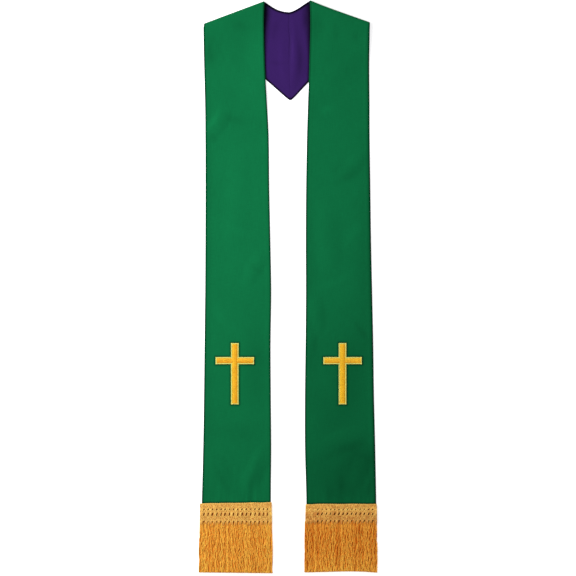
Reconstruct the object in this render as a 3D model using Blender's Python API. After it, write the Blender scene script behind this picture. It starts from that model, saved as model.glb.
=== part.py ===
"""A lined clerical stole, laid flat on a table with both fronts folded over the back neck.

Metres, +Z up. +Y points from the hems to the neck, +X to the right as seen from above.
The table is z = 0, and the origin is under the middle of the whole stole.

Each half is cut in one piece from the centre back seam, round the neck to the hem, once in
face cloth and once in lining. Both walls follow one seam surface, the layer where they meet.
"""

import math
import random
from collections import namedtuple

import bmesh
import bpy
from mathutils import Vector

MM = 0.001

# Cloth
CLOTH_WALL = 1.0 * MM
SEAM_GAP = 0.3 * MM
LAYER = 2 * CLOTH_WALL + SEAM_GAP
SEAM_HEIGHT = LAYER / 2  # the seam surface where the stole lies on the table
OVER_BACK = LAYER + SEAM_GAP  # what a front gains where it lies on the back neck
HEM_Y = -470 * MM

# Shoulder folds: half the height of the soft loop, at the neck and at the arm side
FOLD_RADIUS_NECK = 4.5 * MM
FOLD_RADIUS_ARM = 3.3 * MM
FOLD_SETTLES = 75 * MM  # the loop has sunk to the layer below this far from the fold
DROP_STARTS = 32 * MM  # a front leaves the back neck's height this far past its lower edge
DROP_LENGTH = 40 * MM

# Back neck: the centre seam runs from the dip of the neckline to the point below it
NECK_DIP = Vector((1.0, 548.4)) * MM
BACK_POINT = Vector((4.6, 369.6)) * MM
BACK_POINT_ROUND = 3.0 * MM

# Grid of each half
BACK_ROWS = 7
BACK_ROW_EASE = 1.15  # above 1, the rows are closer at the centre seam
FOLD_ROWS = 6
FRONT_ROWS = 29
FRONT_ROW_EASE = 1.2  # above 1, the rows are closer at the shoulder
COLUMNS = 8
SMOOTH_ANGLE = 50  # degrees: sharper edges than this stay crisp

# Embroidered cross
CROSS_TOP = -112.2 * MM
CROSS_BOTTOM = -236.8 * MM
CROSS_ARM_Y = -148.2 * MM
CROSS_SPAN = 78.4 * MM
UPRIGHT_WIDTH = 16.6 * MM
ARM_WIDTH = 15.4 * MM
CROSS_RIM = 0.7 * MM
CROSS_STEPS = ((2.4 * MM, 0.7 * MM), (3.0 * MM, 0.3 * MM))  # inset and rise of its crown

# Crocheted heading of the fringe
HEADING_TOP = -433.8 * MM
HEADING_BOTTOM = -475.5 * MM
REPEATS = 17  # shells across a heading, and bunches of threads below it
HeadingRow = namedtuple("HeadingRow", "down bridge hole")  # heights of the relief
HEADING_ROWS = [
    HeadingRow(0.0 * MM, 1.3 * MM, 1.3 * MM),
    HeadingRow(2.0 * MM, 2.2 * MM, 2.2 * MM),
    HeadingRow(9.5 * MM, 2.3 * MM, 2.1 * MM),
    HeadingRow(14.0 * MM, 2.1 * MM, 1.5 * MM),
    HeadingRow(18.0 * MM, 2.2 * MM, 2.0 * MM),
    HeadingRow(22.8 * MM, 1.7 * MM, 0.7 * MM),
    HeadingRow(27.8 * MM, 2.3 * MM, 2.2 * MM),
    HeadingRow(35.5 * MM, 2.3 * MM, 2.1 * MM),
    HeadingRow(39.3 * MM, 1.9 * MM, 0.8 * MM),
    HeadingRow(41.7 * MM, 1.8 * MM, 1.4 * MM),
]

# Fringe: a narrow root strip outside the hem, with two layers of threads in locks
STRIP_TOP = HEADING_BOTTOM - SEAM_GAP
STRIP_BOTTOM = STRIP_TOP - 5 * MM
FRINGE_TIPS = -571.5 * MM
TIP_UNEVEN = 1.4 * MM
LOCKS_PER_REPEAT = 3
LOCK_SPREAD = 2.5 * MM  # between the locks of one bunch, at the root
LOCK_WIDTH = 1.9 * MM
TIP_NARROWING = 0.15  # a lock's tip is this share narrower than its root
LOCK_SECTIONS = 3
LOCK_SWAY = 1.3 * MM
SWAY_WAVE = 47 * MM  # locks this far apart sway together
SWAY_TURNS = 0.8  # waves along one lock
SWAY_FULL = 0.6  # share of the length by which the sway is full
LOCK_SETTLES = 0.45  # share of the length by which a lock lies at its tip's height
STRIP_LEVELS = (0.5 * MM, 0.9 * MM, 2.1 * MM, 2.6 * MM, 3.8 * MM, 4.2 * MM)
LockLayer = namedtuple("LockLayer", "root_low root_high tip_low tip_high phase")
LOCK_LAYERS = (
    LockLayer(1, 2, 0.35 * MM, 1.35 * MM, 0.0),
    LockLayer(3, 4, 1.85 * MM, 2.95 * MM, 2.1),
)

EdgeRow = namedtuple("EdgeRow", "y inner outer")  # the front's two long edges
Swell = namedtuple("Swell", "x y half_length half_width angle height")  # a soft fold
Side = namedtuple(
    "Side",
    "name sign neck shoulder neckline edges swells cross_x heading fringe_roots fringe_tips",
)


def millimetres(row):
    """A table's row again, from millimetres to metres."""
    return type(row)(*(value * MM for value in row))


def swell(x, y, half_length, half_width, angle, height):
    """A soft fold from millimetres, with its long axis at an angle in degrees from +X."""
    return Swell(
        x * MM, y * MM, half_length * MM, half_width * MM, math.radians(angle), height * MM
    )


LEFT = Side(
    name="left",
    sign=-1,
    neck=Vector((-47.0, 570.6)) * MM,
    shoulder=Vector((-168.0, 525.2)) * MM,
    neckline=(Vector((-29.0, 556.8)) * MM, Vector((-20.0, 549.8)) * MM),
    edges=[
        millimetres(EdgeRow(*row))
        for row in (
            (575, -47.0, -168.0),
            (525, -48.2, -168.2),
            (440, -47.0, -166.8),
            (369, -42.2, -165.4),
            (301, -38.8, -164.6),
            (197, -37.6, -164.0),
            (93, -35.4, -164.4),
            (-11, -34.0, -165.2),
            (-115, -35.0, -166.2),
            (-219, -34.4, -167.4),
            (-323, -33.6, -169.2),
            (-419, -34.4, -172.0),
            (-470, -33.8, -173.6),
        )
    ],
    swells=[
        swell(-143, 322, 46, 22, 50, 2.4),
        swell(-66, 38, 44, 22, 62, 2.0),
        swell(-102, 168, 120, 34, 86, 1.7),
        swell(-141, -358, 52, 23, -58, 2.3),
        swell(-62, -362, 56, 23, 70, 2.6),
    ],
    cross_x=-106.2 * MM,
    heading=(-32.4 * MM, -174.8 * MM),
    fringe_roots=(-31.4 * MM, -177.4 * MM),
    fringe_tips=(-29.4 * MM, -180.2 * MM),
)
RIGHT = Side(
    name="right",
    sign=1,
    neck=Vector((45.0, 571.8)) * MM,
    shoulder=Vector((163.6, 528.2)) * MM,
    neckline=(Vector((28.5, 562.0)) * MM, Vector((14.5, 550.2)) * MM),
    edges=[
        millimetres(EdgeRow(*row))
        for row in (
            (575, 45.0, 163.6),
            (525, 43.8, 163.4),
            (440, 42.4, 162.4),
            (369, 40.4, 162.8),
            (301, 38.8, 163.0),
            (197, 37.0, 164.4),
            (93, 36.4, 165.8),
            (-11, 36.4, 168.0),
            (-115, 35.8, 170.2),
            (-219, 34.6, 171.8),
            (-323, 34.6, 174.4),
            (-419, 36.6, 176.2),
            (-470, 36.6, 176.8),
        )
    ],
    swells=[
        swell(131, 242, 46, 22, 44, 2.2),
        swell(80, 96, 110, 32, 94, 1.7),
        swell(58, -52, 46, 20, 98, 1.9),
        swell(118, -304, 56, 26, 14, 2.8),
        swell(146, -364, 50, 22, 68, 2.2),
    ],
    cross_x=109.2 * MM,
    heading=(35.0 * MM, 177.6 * MM),
    fringe_roots=(33.0 * MM, 179.0 * MM),
    fringe_tips=(31.8 * MM, 179.6 * MM),
)

Finish = namedtuple("Finish", "colour roughness metallic")
GREEN_CLOTH = Finish((0.006, 0.175, 0.060), 0.82, 0.0)
PURPLE_LINING = Finish((0.045, 0.015, 0.133), 0.70, 0.0)
CROSS_THREAD = Finish((0.79, 0.45, 0.032), 0.45, 0.0)
HEADING_CORD = Finish((0.69, 0.35, 0.074), 0.55, 0.0)
FRINGE_THREAD = Finish((0.62, 0.24, 0.030), 0.45, 0.0)


def smooth(share):
    """0 below 0 and 1 above 1, with an S-shaped rise between."""
    share = min(max(share, 0.0), 1.0)
    return share * share * (3 - 2 * share)


def mix(a, b, share):
    return a + (b - a) * share


def material(name, finish):
    made = bpy.data.materials.new(name)
    made.use_nodes = True
    shader = made.node_tree.nodes["Principled BSDF"]
    shader.inputs["Base Color"].default_value = (*finish.colour, 1.0)
    shader.inputs["Roughness"].default_value = finish.roughness
    shader.inputs["Metallic"].default_value = finish.metallic
    return made


def add_object(name, bm, finish, smooth_angle=None):
    """One named object from a bmesh, its faces pointing out."""
    bmesh.ops.recalc_face_normals(bm, faces=bm.faces)
    mesh = bpy.data.meshes.new(name)
    bm.to_mesh(mesh)
    bm.free()
    if smooth_angle:
        mesh.shade_smooth()
        mesh.set_sharp_from_angle(angle=math.radians(smooth_angle))
    mesh.materials.append(material(name, finish))
    made = bpy.data.objects.new(name, mesh)
    bpy.context.scene.collection.objects.link(made)
    return made


# The outline in plan, and the shoulder fold


class FoldLine:
    """The straight shoulder fold of one side, and how the piece's edges leave it.

    along runs from the neck to the shoulder point, and inward points into the stole.
    Each edge direction is scaled to move 1 inward, so edge = end + inward distance * direction.
    """

    def __init__(self, side):
        self.neck = side.neck
        self.shoulder = side.shoulder
        run = side.shoulder - side.neck
        self.length = run.length
        self.along = run / self.length
        self.inward = Vector((self.along.y, -self.along.x)) * side.sign
        down = Vector((0.0, -1.0))
        self.back_edges = (
            self.scaled(side.neckline[0] - side.neck),
            self.scaled(BACK_POINT - side.shoulder),
        )
        self.front_edges = (self.scaled(down), self.scaled(down))

    def scaled(self, direction):
        return direction / direction.dot(self.inward)

    def radius(self, share):
        return mix(FOLD_RADIUS_NECK, FOLD_RADIUS_ARM, min(max(share, 0.0), 1.0))

    def place(self, point):
        """(share along the fold, distance inward from it) of a point in plan."""
        away = point - self.neck
        return away.dot(self.along) / self.length, away.dot(self.inward)

    def point(self, share, angle):
        """A point of the seam surface on the loop: angle is -90 on the back, 90 on the front."""
        radius = self.radius(share)
        inward = radius * (1 - math.cos(angle))
        edges = self.front_edges if angle > 0 else self.back_edges
        plan = mix(
            self.neck + edges[0] * inward, self.shoulder + edges[1] * inward, share
        )
        return Vector((plan.x, plan.y, SEAM_HEIGHT + radius * (1 + math.sin(angle))))


def edge_x(side, y):
    """(inner, outer) x of a front at y, on a smooth curve through the side's edge rows."""
    rows = side.edges
    k = next((i for i in range(len(rows) - 2) if y > rows[i + 1].y), len(rows) - 2)
    a, b = rows[k], rows[k + 1]
    share = (a.y - y) / (a.y - b.y)
    found = []
    for column in ("inner", "outer"):
        before, after = rows[max(k - 1, 0)], rows[min(k + 2, len(rows) - 1)]
        slope_a = (getattr(b, column) - getattr(before, column)) / (before.y - b.y)
        slope_b = (getattr(after, column) - getattr(a, column)) / (a.y - after.y)
        span = a.y - b.y
        square, cube = share**2, share**3
        found.append(
            getattr(a, column) * (2 * cube - 3 * square + 1)
            + slope_a * span * (cube - 2 * square + share)
            + getattr(b, column) * (3 * square - 2 * cube)
            + slope_b * span * (cube - square)
        )
    return found


def neckline_point(side, fold, share):
    """The back neck's upper edge, from the centre seam at 0 to the fold at 1."""
    end = side.neck + fold.back_edges[0] * FOLD_RADIUS_NECK
    handle_fold, handle_seam = side.neckline
    rest = 1 - share
    return (
        NECK_DIP * rest**3
        + handle_seam * (3 * rest**2 * share)
        + handle_fold * (3 * rest * share**2)
        + end * share**3
    )


def back_edge_point(side, fold, share):
    """The back neck's lower edge, from the rounded point at 0 to the fold at 1."""
    end = side.shoulder + fold.back_edges[1] * FOLD_RADIUS_ARM
    plan = mix(BACK_POINT, end, share)
    rise = plan.y - BACK_POINT.y
    plan.y = BACK_POINT.y + math.hypot(rise, BACK_POINT_ROUND)
    return plan


def past_back_edge(side, point):
    """How far a point lies below the straight lower edge of the back neck, at right angles."""
    run = (side.shoulder - BACK_POINT).normalized()
    across = Vector((run.y, -run.x)) * side.sign
    return (point - BACK_POINT).dot(across)


# The height of a front


def swell_height(side, x, y):
    total = 0.0
    for fold in side.swells:
        dx, dy = x - fold.x, y - fold.y
        c, s = math.cos(fold.angle), math.sin(fold.angle)
        reach = ((dx * c + dy * s) / fold.half_length) ** 2
        reach += ((dy * c - dx * s) / fold.half_width) ** 2
        if reach < 1:
            total += fold.height * (1 - reach) ** 2
    return total


def front_height(side, fold, point):
    """The seam surface's height: flat on the table, over the back neck, and up to the fold."""
    dropped = smooth((past_back_edge(side, point) - DROP_STARTS) / DROP_LENGTH)
    resting = SEAM_HEIGHT + OVER_BACK * (1 - dropped)
    share, inward = fold.place(point)
    radius = fold.radius(share)
    loop_top = SEAM_HEIGHT + 2 * radius
    near_fold = 1 - smooth((inward - radius) / FOLD_SETTLES)
    return mix(resting, loop_top, near_fold) + swell_height(side, point.x, point.y)


def seam_surface(side):
    """Rows of points from the centre back seam, round the shoulder fold, to the hem."""
    fold = FoldLine(side)
    columns = [c / COLUMNS for c in range(COLUMNS + 1)]
    seam_side = Vector((side.sign * SEAM_GAP / 2, 0.0))
    rows = []
    for i in range(BACK_ROWS):
        share = (i / BACK_ROWS) ** BACK_ROW_EASE
        top = neckline_point(side, fold, share) + seam_side * (1 - share)
        low = back_edge_point(side, fold, share) + seam_side * (1 - share)
        plan = [mix(top, low, c) for c in columns]
        rows.append([Vector((p.x, p.y, SEAM_HEIGHT)) for p in plan])
    for i in range(FOLD_ROWS + 1):
        angle = math.pi * (i / FOLD_ROWS - 0.5)
        rows.append([fold.point(c, angle) for c in columns])
    inner_top, outer_top = rows[-1][0].y, rows[-1][-1].y
    for i in range(1, FRONT_ROWS + 1):
        share = (i / FRONT_ROWS) ** FRONT_ROW_EASE
        inner_y, outer_y = mix(inner_top, HEM_Y, share), mix(outer_top, HEM_Y, share)
        inner = Vector((edge_x(side, inner_y)[0], inner_y))
        outer = Vector((edge_x(side, outer_y)[1], outer_y))
        plan = [mix(inner, outer, c) for c in columns]
        rows.append([Vector((p.x, p.y, front_height(side, fold, p))) for p in plan])
    return rows


def outward(side, rows):
    """At each point of the seam surface, the direction of the face cloth."""
    last_row, last_column = len(rows) - 1, len(rows[0]) - 1
    found = []
    for r in range(last_row + 1):
        found.append([])
        for c in range(last_column + 1):
            down = rows[min(r + 1, last_row)][c] - rows[max(r - 1, 0)][c]
            across = rows[r][min(c + 1, last_column)] - rows[r][max(c - 1, 0)]
            found[r].append(down.cross(across).normalized() * side.sign)
    return found


# Solids


def stitch_grid(bm, grid):
    """Triangles over a grid of vertices, always with the same diagonal."""
    for r in range(len(grid) - 1):
        for c in range(len(grid[0]) - 1):
            a, b = grid[r][c], grid[r][c + 1]
            d, e = grid[r + 1][c], grid[r + 1][c + 1]
            bm.faces.new((a, b, e))
            bm.faces.new((a, e, d))


def border(grid):
    """The vertices round a grid's edge, in order."""
    right = [row[-1] for row in grid[1:-1]]
    left = [row[0] for row in reversed(grid[1:-1])]
    return grid[0] + right + list(reversed(grid[-1])) + left


def close_rim(bm, one, other):
    """Triangles that join two borders of the same length."""
    for i in range(len(one)):
        k = (i + 1) % len(one)
        bm.faces.new((one[i], one[k], other[k]))
        bm.faces.new((one[i], other[k], other[i]))


def cloth_wall(name, side, rows, normals, low, high, finish):
    """The wall between two distances from the seam surface, positive towards the face."""
    bm = bmesh.new()
    layers = []
    for distance in (low, high):
        grid = [
            [bm.verts.new(p + n * distance) for p, n in zip(points, ways)]
            for points, ways in zip(rows, normals)
        ]
        stitch_grid(bm, grid)
        layers.append(border(grid))
    close_rim(bm, *layers)
    return add_object(f"{name}_{side.name}", bm, finish, smooth_angle=SMOOTH_ANGLE)


def cross_outline(side):
    """The corners of the cross, going round."""
    x, half_up, half_arm = side.cross_x, UPRIGHT_WIDTH / 2, ARM_WIDTH / 2
    reach, arm_top, arm_low = CROSS_SPAN / 2, CROSS_ARM_Y + half_arm, CROSS_ARM_Y - half_arm
    right = [
        (half_up, CROSS_TOP),
        (half_up, arm_top),
        (reach, arm_top),
        (reach, arm_low),
        (half_up, arm_low),
        (half_up, CROSS_BOTTOM),
    ]
    left = [(-dx, y) for dx, y in reversed(right)]
    return [(x + dx, y) for dx, y in right + left]


def embroidered_cross(side):
    """A padded cross on the front, its crown stepped in from a low rim."""
    base = SEAM_HEIGHT + LAYER / 2 + SEAM_GAP
    bm = bmesh.new()
    outline = bm.faces.new([bm.verts.new((x, y, base)) for x, y in cross_outline(side)])
    raised = bmesh.ops.extrude_face_region(bm, geom=[outline])["geom"]
    top = next(g for g in raised if isinstance(g, bmesh.types.BMFace))
    bmesh.ops.translate(bm, vec=(0, 0, CROSS_RIM), verts=top.verts)
    if top.normal.z < 0:
        top.normal_flip()
    for inset, rise in CROSS_STEPS:
        bmesh.ops.inset_region(bm, faces=[top], thickness=inset)
        bmesh.ops.translate(bm, vec=(0, 0, rise), verts=top.verts)
    return add_object(f"cross_{side.name}", bm, CROSS_THREAD)


def heading(side):
    """The crocheted band: bands of shells and rows of dents over a plain underside."""
    base = SEAM_HEIGHT + LAYER / 2 + SEAM_GAP
    inner, outer = side.heading
    count = 2 * REPEATS
    bm = bmesh.new()
    grid = []
    for row in HEADING_ROWS:
        y = HEADING_TOP - row.down
        heights = [row.hole if c % 2 else row.bridge for c in range(count + 1)]
        places = [(mix(inner, outer, c / count), y, base + h) for c, h in enumerate(heights)]
        grid.append([bm.verts.new(p) for p in places])
    stitch_grid(bm, grid)
    upper = border(grid)
    lower = [bm.verts.new((v.co.x, v.co.y, base)) for v in upper]
    close_rim(bm, upper, lower)
    bm.faces.new(lower)
    bmesh.ops.triangulate(bm, faces=[f for f in bm.faces if len(f.verts) > 3])
    return add_object(f"heading_{side.name}", bm, HEADING_CORD)


def lock_centres(side):
    """(x at the root, x at the tip) of each lock in one layer, from the inner edge out."""
    inner, outer = side.fringe_roots
    pitch = (outer - inner) / REPEATS
    tip_inner, tip_outer = side.fringe_tips
    total = REPEATS * LOCKS_PER_REPEAT
    found = []
    for i in range(total):
        bunch, member = divmod(i, LOCKS_PER_REPEAT)
        spread = (member - (LOCKS_PER_REPEAT - 1) / 2) * LOCK_SPREAD * side.sign
        root = inner + (bunch + 0.5) * pitch + spread
        found.append((root, mix(tip_inner, tip_outer, (i + 0.5) / total)))
    return found


def lock_section(side, layer, centres, tip_y, share):
    """The four corners of a lock's section, at a share of the way to its tip."""
    root_x, tip_x = centres
    sway = LOCK_SWAY * math.sin(
        math.tau * (root_x / SWAY_WAVE + share * SWAY_TURNS) + layer.phase
    )
    x = mix(root_x, tip_x, share) + sway * smooth(share / SWAY_FULL)
    half = LOCK_WIDTH / 2 * (1 - TIP_NARROWING * share)
    settled = smooth(share / LOCK_SETTLES)
    low = mix(STRIP_LEVELS[layer.root_low], layer.tip_low, settled)
    high = mix(STRIP_LEVELS[layer.root_high], layer.tip_high, settled)
    y = mix(STRIP_BOTTOM, tip_y, share)
    return [(x - half, y, low), (x + half, y, low), (x + half, y, high), (x - half, y, high)]


def fringe(side, seed):
    """A narrow strip below the heading, with two layers of locks growing out of its lower face."""
    rng = random.Random(seed)
    bm = bmesh.new()
    centres = sorted(lock_centres(side))
    ends = sorted(side.fringe_roots)
    lines = [ends[0]]
    for root, _ in centres:
        lines += [root - LOCK_WIDTH / 2, root + LOCK_WIDTH / 2]
    lines.append(ends[1])
    face = [[bm.verts.new((x, STRIP_BOTTOM, z)) for x in lines] for z in STRIP_LEVELS]
    roots = {
        (layer.root_low, 1 + 2 * i): (layer, centre)
        for layer in LOCK_LAYERS
        for i, centre in enumerate(centres)
    }
    for r in range(len(face) - 1):
        for c in range(len(lines) - 1):
            ring = [face[r][c], face[r][c + 1], face[r + 1][c + 1], face[r + 1][c]]
            if (r, c) not in roots:
                bm.faces.new(ring)
                continue
            layer, centre = roots[(r, c)]
            tip_y = FRINGE_TIPS - rng.uniform(-TIP_UNEVEN, TIP_UNEVEN)
            for k in range(1, LOCK_SECTIONS + 1):
                corners = lock_section(side, layer, centre, tip_y, k / LOCK_SECTIONS)
                following = [bm.verts.new(p) for p in corners]
                for i in range(4):
                    j = (i + 1) % 4
                    bm.faces.new((ring[i], ring[j], following[j], following[i]))
                ring = following
            bm.faces.new(ring)
    # The strip's other faces: its upper edge, its two flat sides and its two ends
    low, high = STRIP_LEVELS[0], STRIP_LEVELS[-1]
    back = [
        bm.verts.new((x, STRIP_TOP, z))
        for x, z in ((ends[0], low), (ends[1], low), (ends[1], high), (ends[0], high))
    ]
    bm.faces.new(back)
    middle = len(lines) // 2
    for chain, near, far in ((face[0], back[0], back[1]), (face[-1], back[3], back[2])):
        for c in range(len(chain) - 1):
            bm.faces.new((chain[c], chain[c + 1], near if c < middle else far))
        bm.faces.new((near, chain[middle], far))
    for column, lower, upper in ((0, back[0], back[3]), (-1, back[1], back[2])):
        bm.faces.new([row[column] for row in face] + [upper, lower])
    bmesh.ops.triangulate(bm, faces=[f for f in bm.faces if len(f.verts) > 3])
    return add_object(f"fringe_{side.name}", bm, FRINGE_THREAD)


def build():
    for old in list(bpy.data.objects):
        bpy.data.objects.remove(old, do_unlink=True)
    for seed, side in enumerate((LEFT, RIGHT)):
        rows = seam_surface(side)
        normals = outward(side, rows)
        near, far = SEAM_GAP / 2, SEAM_GAP / 2 + CLOTH_WALL
        cloth_wall("face_cloth", side, rows, normals, near, far, GREEN_CLOTH)
        cloth_wall("lining", side, rows, normals, -far, -near, PURPLE_LINING)
        embroidered_cross(side)
        heading(side)
        fringe(side, seed)


build()
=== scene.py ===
import math
import random

import bpy
import numpy as np
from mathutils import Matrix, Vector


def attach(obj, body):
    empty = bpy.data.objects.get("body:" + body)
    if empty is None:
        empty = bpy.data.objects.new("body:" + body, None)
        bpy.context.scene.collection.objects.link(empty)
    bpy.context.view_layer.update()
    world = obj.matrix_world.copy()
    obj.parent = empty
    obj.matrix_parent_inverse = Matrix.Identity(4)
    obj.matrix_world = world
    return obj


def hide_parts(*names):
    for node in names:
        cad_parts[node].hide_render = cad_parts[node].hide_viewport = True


# A lined clerical stole, laid flat with both fronts folded over the back of the neck.
# +Y runs from the fringed hems to the neck, +X to the right seen from above, the table is z = 0.
# Tables and shapes are in millimetres, and addMesh turns them into metres.

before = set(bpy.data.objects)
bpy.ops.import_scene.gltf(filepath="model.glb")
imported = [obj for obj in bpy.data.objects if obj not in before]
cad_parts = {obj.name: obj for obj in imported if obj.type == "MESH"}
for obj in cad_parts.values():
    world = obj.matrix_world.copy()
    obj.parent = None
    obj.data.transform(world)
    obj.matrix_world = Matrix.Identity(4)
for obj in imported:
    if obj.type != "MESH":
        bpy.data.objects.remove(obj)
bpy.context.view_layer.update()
print("frame:", len(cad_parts), "solids loaded")

# How the stole lies

layout = {
    "seamHeight": 1.15,  # the layer where face and lining meet, on the table
    "overBack": 2.6,  # what a front gains where it lies on the back of the neck
    "hemY": -470.0,
    "foldRadius": (4.5, 3.3),  # of the soft shoulder loop, at the neck and at the arm side
    "foldSettles": 75.0,
    "sagReach": 40.0,  # how far below the fold its sag is felt
    "dropStarts": 16.0,  # past the back's lower edge a front sinks to the table
    "dropLength": 50.0,
    "neckDip": (1.0, 548.4),
    "backPoint": (4.6, 369.6),
    "backPointRound": 3.0,
    "bowStarts": (0.04, 0.1),  # share of the lower edge at the point that stays straight, and reach
}
seamBends = ((0.05, 0.06, 1.1), (0.30, 0.07, 1.7), (0.62, 0.10, -0.7))  # place, reach, size

# edges: y, x of the inner edge, x of the outer edge
# swells: x, y, half length, half width, angle in degrees, height
# creases: x, y, x, y of the two ends, half width, height
# tones: as swells, with a change of the cloth's tone in place of the height, painted light where above
# 0 and painted shade below
sides = {
    "Left": {
        "sign": -1,
        "bend": 0.22,  # of the creases
        "edgeShade": ((0.36, 2.8), (0.50, 2.8)),  # by the inner and the outer edge: amount, reach
        "lowBow": 0.0,  # of the back's lower edge
        "foldSag": 0.0,
        "toneDrop": 0.0,  # painted shade: how much darker this side's gold threads are painted, this side lying further from the light
        "tipTone": 0.08,
        "neck": (-47.0, 569.4),
        "shoulder": (-168.0, 524.3),
        "neckline": ((-29.0, 556.8), (-20.0, 549.8)),
        "edges": (
            (575, -47.0, -168.0), (525, -48.2, -169.0), (440, -46.1, -167.7), (369, -42.2, -165.9),
            (301, -38.8, -165.2), (197, -37.6, -165.0), (93, -35.4, -165.2), (-11, -33.6, -165.7),
            (-115, -35.0, -166.9), (-219, -34.4, -168.0), (-323, -33.6, -169.6), (-419, -34.4, -172.0),
            (-470, -33.8, -173.6),
        ),
        "swells": (
            (-143, 322, 46, 22, 50, 2.4), (-66, 38, 44, 22, 62, 2.0), (-102, 168, 120, 34, 86, 1.7),
            (-141, -358, 52, 23, -58, 2.3), (-62, -362, 56, 23, 70, 2.6),
        ),
        "creases": (
            (-157, 490, -150, 436, 11, -0.40), (-118, 532, -70, 512, 14, -0.35),
            (-158, 312, -133, 356, 8, 0.45), (-152, 300, -138, 290, 9, -0.40),
            (-126, 340, -84, 326, 12, -0.40), (-79, 48, -52, 24, 8, -0.45),
            (-60, -128, -56, -150, 10, -0.35), (-152, -350, -118, -414, 10, -0.40),
            (-57, -340, -77, -418, 10, -0.45), (-56, -362, -62, -404, 11, -0.18),
            (-90, -366, -91, -420, 9, 0.30), (-120, 120, -60, 98, 14, 0.25),
            (-150, -30, -120, -88, 13, 0.25),
        ),
        "tones": (
            (-172, 150, 420, 34, 90, -0.13), (-172, -260, 260, 34, 90, -0.09),
            (-152, 472, 60, 34, 90, -0.10), (-104, 60, 500, 34, 90, 0.04),
            (-60, 240, 420, 52, 90, 0.06), (-62, 462, 100, 44, 90, 0.11),
            (-68, -160, 120, 40, 90, -0.10), (-104, -290, 26, 90, 90, -0.06),
        ),
        "crossX": -106.2,
        "fillTones": (0.31, 0.83),  # of the cross, from the deep colour to the light one
        "heading": (-32.4, -176.0),
        "headingTops": (-431.9, -433.9),
        "headingDepth": 0.975,  # share of the listed depth at which its rows lie
        "slant": 1.0,
        "closedRepeats": 0,  # by the inner edge, where the holes of the heading are shut
        "topTone": 0.06,
        "fringeRoots": (-31.6, -177.0),
        "fringeTips": (-30.3, -178.8),
        "tipLine": (-573.4, -571.7),
        "tipArch": 0.0,
    },
    "Right": {
        "sign": 1,
        "bend": -0.18,
        "edgeShade": ((0.50, 2.8), (0.55, 4.5)),
        "lowBow": 4.0,
        "foldSag": 1.5,
        "toneDrop": 0.34,
        "tipTone": 0.30,
        "neck": (43.8, 571.6),
        "shoulder": (163.6, 526.9),
        "neckline": ((28.5, 562.0), (14.5, 550.2)),
        "edges": (
            (575, 43.8, 163.6), (525, 44.6, 163.4), (440, 42.6, 162.4), (369, 40.1, 162.9),
            (301, 38.0, 163.1), (197, 36.2, 164.6), (93, 35.6, 166.0), (-11, 35.9, 168.2),
            (-115, 35.1, 170.4), (-219, 33.9, 171.9), (-323, 34.0, 174.4), (-419, 36.6, 176.2),
            (-470, 36.6, 176.8),
        ),
        "swells": (
            (131, 242, 46, 22, 44, 2.2), (80, 96, 110, 32, 94, 1.7), (58, -52, 46, 20, 98, 1.9),
            (118, -304, 56, 26, 14, 2.8), (146, -364, 50, 22, 68, 2.2),
        ),
        "creases": (
            (99, 522, 95, 488, 13, -0.40), (138, 510, 138, 488, 9, -0.35), (64, 352, 92, 356, 13, 0.45),
            (98, 210, 136, 226, 13, -0.40), (55, -92, 56, -132, 10, -0.40),
            (134, -68, 164, -112, 9, -0.40), (66, -342, 168, -310, 12, -0.28),
            (132, -328, 168, -346, 12, -0.20), (108, -372, 110, -420, 12, -0.35),
            (84, -402, 87, -426, 10, -0.25), (171, -380, 158, -424, 9, -0.50),
            (120, 20, 60, -6, 14, 0.25), (150, 130, 120, 84, 14, 0.25),
        ),
        "tones": (
            (106, -300, 420, 150, 90, -0.21), (130, -165, 120, 50, 80, -0.12),
            (168, 60, 320, 40, 90, -0.10), (120, -395, 70, 60, 14, -0.05),
            (106, -402, 110, 220, 90, -0.11), (152, -346, 62, 46, 12, -0.13),
            (54, 520, 40, 26, 90, -0.14), (112, 233, 40, 26, 0, -0.08), (46, 50, 170, 20, 90, -0.07),
            (150, 60, 170, 40, 90, -0.05), (48, -150, 60, 20, 90, -0.07),
        ),
        "crossX": 109.2,
        # painted light: the right cross's higher range makes up for the weaker lamp light there
        "fillTones": (0.56, 0.96),
        "heading": (35.0, 177.6),
        "headingTops": (-435.2, -434.8),
        "headingDepth": 0.925,
        "slant": 1.9,
        "closedRepeats": 2,
        "topTone": 0.17,
        "fringeRoots": (33.0, 178.0),
        "fringeTips": (32.4, 179.1),
        "tipLine": (-571.7, -572.2),
        "tipArch": 2.2,
    },
}


def blendTo(a, b, share):
    return a + (b - a) * share


def smoothStep(share):
    share = np.clip(share, 0.0, 1.0)
    return share * share * (3 - 2 * share)


def bell(distance):  # 1 in the middle, soft on both sides
    return np.exp(-(distance**2))


def softWaves(x, y, length, seed):  # roughly -1 to 1, with no direction of its own
    rng = random.Random(seed)
    total = 0.0
    for _ in range(9):
        way = rng.uniform(0, math.pi)
        turns = math.tau / (length * rng.uniform(0.7, 1.7))
        total = total + np.sin(
            turns * (x * math.cos(way) + y * math.sin(way)) + rng.uniform(0, math.tau)
        )
    return total / 4.5


# The outline in plan


def foldFrame(side):  # the straight shoulder fold: neck end, shoulder end, two directions, length
    neck, shoulder = np.array(side["neck"]), np.array(side["shoulder"])
    run = shoulder - neck
    length = np.hypot(*run)
    along = run / length
    inward = np.array((along[1], -along[0])) * side["sign"]
    return neck, shoulder, along, inward, length


def foldRadius(share):
    return blendTo(*layout["foldRadius"], np.clip(share, 0.0, 1.0))


def backEdgeWays(side):  # how the neckline and the lower edge leave the fold, 1 inward
    neck, shoulder, _, inward, _ = foldFrame(side)
    neckWay = np.array(side["neckline"][0]) - neck
    lowWay = np.array(layout["backPoint"]) - shoulder
    return neckWay / neckWay.dot(inward), lowWay / lowWay.dot(inward)


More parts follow.
